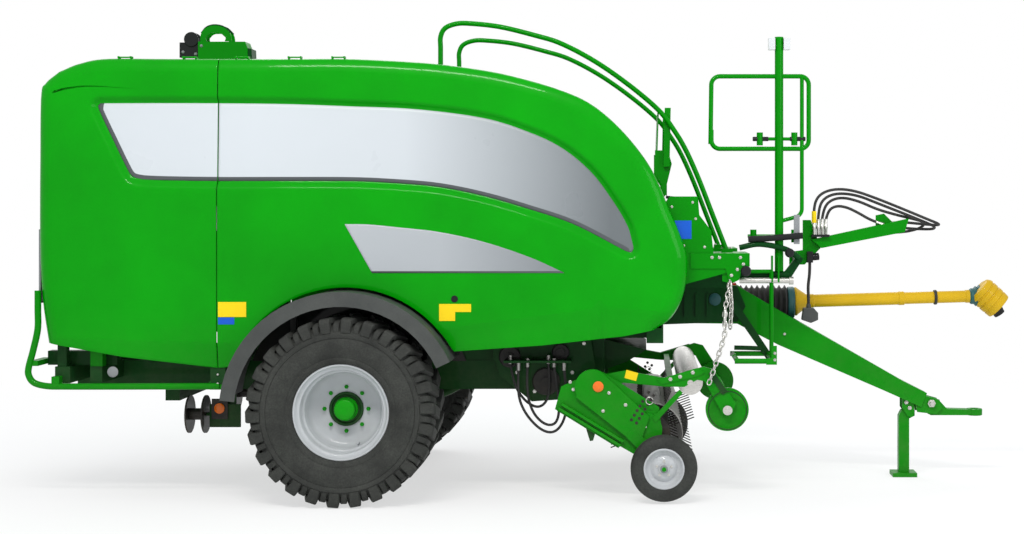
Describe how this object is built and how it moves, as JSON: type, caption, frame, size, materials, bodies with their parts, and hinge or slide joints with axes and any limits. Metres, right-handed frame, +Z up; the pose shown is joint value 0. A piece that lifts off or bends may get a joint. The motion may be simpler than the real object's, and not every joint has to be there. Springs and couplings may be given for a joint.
{
  "type": "round baler with wrapper",
  "caption": "Towed round baler with a pick-up in front, a bale chamber, a rear wrapping ring and table, top-hinged side doors, a drive shaft, a tow eye and a parking stand.",
  "frame": {"origin": "centre of the bounding box at floor level", "axes": "+X forward to the tow eye, +Y to the machine's left, +Z up"},
  "size_m": [6.7706, 2.8, 3.262],
  "materials": {
    "panel_green": "gloss",
    "frame_green": "satin",
    "dark_plastic": "matte",
    "tyre": "matte",
    "rim_silver": "satin",
    "guard_yellow": "satin",
    "black_rubber": "matte",
    "dark_steel": "satin",
    "grey_steel": "satin",
    "gearbox_red": "satin",
    "lamp_white": "clear",
    "film_plastic": "gloss",
    "lens_grey": "gloss",
    "ring_steel": "satin"
  },
  "bodies": {
    "chassis": {"axle": "frame_green", "bellows": "black_rubber", "chamber": "frame_green", "chassis": "frame_green", "control_box": "frame_green", "cover_bracket": "frame_green", "door_hinges": "dark_steel", "drawbar": "frame_green", "feeder": "frame_green", "fender_left": "dark_plastic", "fender_right": "dark_plastic", "front_bracket": "frame_green", "front_wall": "frame_green", "gearbox": "gearbox_red", "guard_post": "dark_steel", "hitch_eye": "dark_steel", "hose_beam": "frame_green", "ladder": "frame_green", "platform": "frame_green", "rear_guard": "frame_green", "rear_lamps": "lens_grey", "ring_support": "frame_green", "roof": "panel_green", "roof_bracket": "frame_green", "shaft_guard": "guard_yellow", "spool_bracket": "frame_green", "stand_bracket": "frame_green", "superstructure": "frame_green", "table_mounts": "frame_green", "top_rails": "frame_green", "work_lamps": "lamp_white"},
    "wheel_right": {"tyre_right": "tyre", "rim_right": "rim_silver"},
    "wheel_left": {"tyre_left": "tyre", "rim_left": "rim_silver"},
    "front_door_right": {"front_door_right": "panel_green"},
    "front_door_left": {"front_door_left": "panel_green"},
    "rear_door_right": {"rear_door_right": "panel_green"},
    "rear_door_left": {"rear_door_left": "panel_green"},
    "ring": {"wrap_ring": "ring_steel", "film_rolls": "film_plastic"},
    "table": {"wrap_table": "frame_green"},
    "roller_front": {"table_roller_front": "grey_steel"},
    "roller_rear": {"table_roller_rear": "grey_steel"},
    "pickup": {"pickup_frame": "frame_green", "pickup_bands": "grey_steel", "gauge_arms": "frame_green"},
    "reel": {"reel": "dark_steel"},
    "wind_guard": {"wind_guard": "frame_green"},
    "crop_roller": {"crop_roller": "grey_steel"},
    "press_roller": {"press_roller": "grey_steel"},
    "gauge_right": {"gauge_wheel_right": "tyre"},
    "gauge_left": {"gauge_wheel_left": "tyre"},
    "spool_right": {"spool_right": "grey_steel"},
    "spool_left": {"spool_left": "grey_steel"},
    "stand": {"stand_leg": "grey_steel"},
    "shaft": {"shaft_yoke": "dark_steel"}
  },
  "joints": [
    {"name": "wheel_right_spin", "type": "hinge", "parent": "chassis", "child": "wheel_right", "pos_m": [-1.253, -1.12, 0.621], "axis": [0, 1, 0], "continuous": true},
    {"name": "wheel_left_spin", "type": "hinge", "parent": "chassis", "child": "wheel_left", "pos_m": [-1.253, 1.12, 0.621], "axis": [0, 1, 0], "continuous": true},
    {"name": "front_door_right_lift", "type": "hinge", "parent": "chassis", "child": "front_door_right", "pos_m": [-1.553, -1.112, 2.954], "axis": [-1, 0, 0], "range_deg": [0, 85]},
    {"name": "front_door_left_lift", "type": "hinge", "parent": "chassis", "child": "front_door_left", "pos_m": [-1.553, 1.112, 2.954], "axis": [1, 0, 0], "range_deg": [0, 85]},
    {"name": "rear_door_right_lift", "type": "hinge", "parent": "chassis", "child": "rear_door_right", "pos_m": [-2.553, -1.112, 2.954], "axis": [-1, 0, 0], "range_deg": [0, 85]},
    {"name": "rear_door_left_lift", "type": "hinge", "parent": "chassis", "child": "rear_door_left", "pos_m": [-2.553, 1.112, 2.954], "axis": [1, 0, 0], "range_deg": [0, 85]},
    {"name": "ring_spin", "type": "hinge", "parent": "chassis", "child": "ring", "pos_m": [-3.083, 0, 1.872], "axis": [1, 0, 0], "continuous": true},
    {"name": "table_tilt", "type": "hinge", "parent": "chassis", "child": "table", "pos_m": [-2.198, 0, 1.25], "axis": [0, -1, 0], "range_deg": [0, 15]},
    {"name": "table_roller_front_spin", "type": "hinge", "parent": "table", "child": "roller_front", "pos_m": [-2.198, 0, 1.25], "axis": [0, 1, 0], "continuous": true},
    {"name": "table_roller_rear_spin", "type": "hinge", "parent": "table", "child": "roller_rear", "pos_m": [-3.155, 0, 1.25], "axis": [0, 1, 0], "continuous": true},
    {"name": "pickup_lift", "type": "hinge", "parent": "chassis", "child": "pickup", "pos_m": [0.227, 0, 0.64], "axis": [0, -1, 0], "range_deg": [-1, 10]},
    {"name": "reel_spin", "type": "hinge", "parent": "pickup", "child": "reel", "pos_m": [0.777, 0, 0.44], "axis": [0, 1, 0], "continuous": true},
    {"name": "wind_guard_lift", "type": "hinge", "parent": "pickup", "child": "wind_guard", "pos_m": [0.477, 0, 0.8], "axis": [0, -1, 0], "range_deg": [0, 8]},
    {"name": "crop_roller_spin", "type": "hinge", "parent": "wind_guard", "child": "crop_roller", "pos_m": [1.031, 0, 0.779], "axis": [0, 1, 0], "continuous": true},
    {"name": "press_roller_spin", "type": "hinge", "parent": "wind_guard", "child": "press_roller", "pos_m": [1.28, 0, 0.597], "axis": [0, 1, 0], "continuous": true},
    {"name": "gauge_right_spin", "type": "hinge", "parent": "pickup", "child": "gauge_right", "pos_m": [0.852, -1.19, 0.234], "axis": [0, 1, 0], "continuous": true},
    {"name": "gauge_left_spin", "type": "hinge", "parent": "pickup", "child": "gauge_left", "pos_m": [0.852, 1.19, 0.234], "axis": [0, 1, 0], "continuous": true},
    {"name": "spool_right_spin", "type": "hinge", "parent": "chassis", "child": "spool_right", "pos_m": [-2.353, -0.7, 0.533], "axis": [1, 0, 0], "continuous": true},
    {"name": "spool_left_spin", "type": "hinge", "parent": "chassis", "child": "spool_left", "pos_m": [-2.353, 0.7, 0.533], "axis": [1, 0, 0], "continuous": true},
    {"name": "stand_fold", "type": "hinge", "parent": "chassis", "child": "stand", "pos_m": [2.662, 0, 0.465], "axis": [0, 1, 0], "range_deg": [0, 90]},
    {"name": "shaft_spin", "type": "hinge", "parent": "chassis", "child": "shaft", "pos_m": [1.824, 0, 1.266], "axis": [0.9995, 0, 0.032], "continuous": true}
  ]
}
